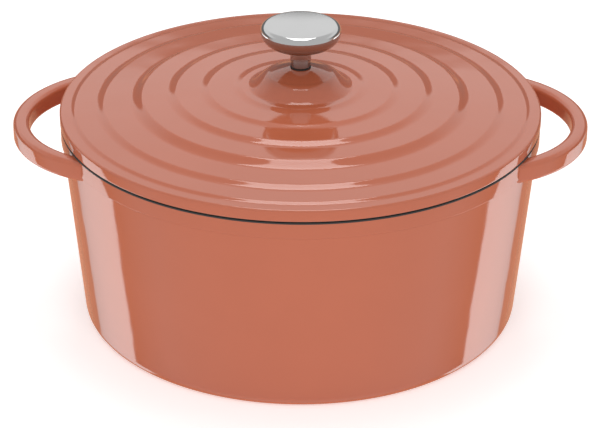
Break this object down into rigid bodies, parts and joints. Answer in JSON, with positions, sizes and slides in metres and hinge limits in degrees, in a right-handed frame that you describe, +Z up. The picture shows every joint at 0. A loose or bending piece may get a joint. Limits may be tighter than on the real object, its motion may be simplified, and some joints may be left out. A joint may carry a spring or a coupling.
{
  "type": "dutch oven",
  "caption": "Round enamelled cast iron dutch oven: deep pot with cast loop handles on both sides, terraced lift-off lid and a polished steel knob.",
  "frame": {"origin": "centre of the pot's flat base", "axes": "+Z up along the pot's axis, towards the knob; X runs through both loop handles; Y is front to back"},
  "size_m": [0.3546, 0.296, 0.19],
  "materials": {
    "pot_enamel": "gloss",
    "lid_enamel": "gloss",
    "knob_steel": "polished",
    "stem_steel": "polished",
    "gasket_rubber": "matte",
    "fixing_steel": "satin"
  },
  "bodies": {
    "pot": {"pot": "pot_enamel"},
    "lid": {"lid": "lid_enamel", "knob_cap": "knob_steel", "knob_stem": "stem_steel", "knob_gasket": "gasket_rubber", "knob_washer": "fixing_steel", "knob_spring_washer": "fixing_steel", "knob_screw": "fixing_steel"}
  },
  "joints": [
    {"name": "lid_lift", "type": "slide", "parent": "pot", "child": "lid", "axis": [0, 0, 1], "range_m": [0, 0.2]}
  ]
}
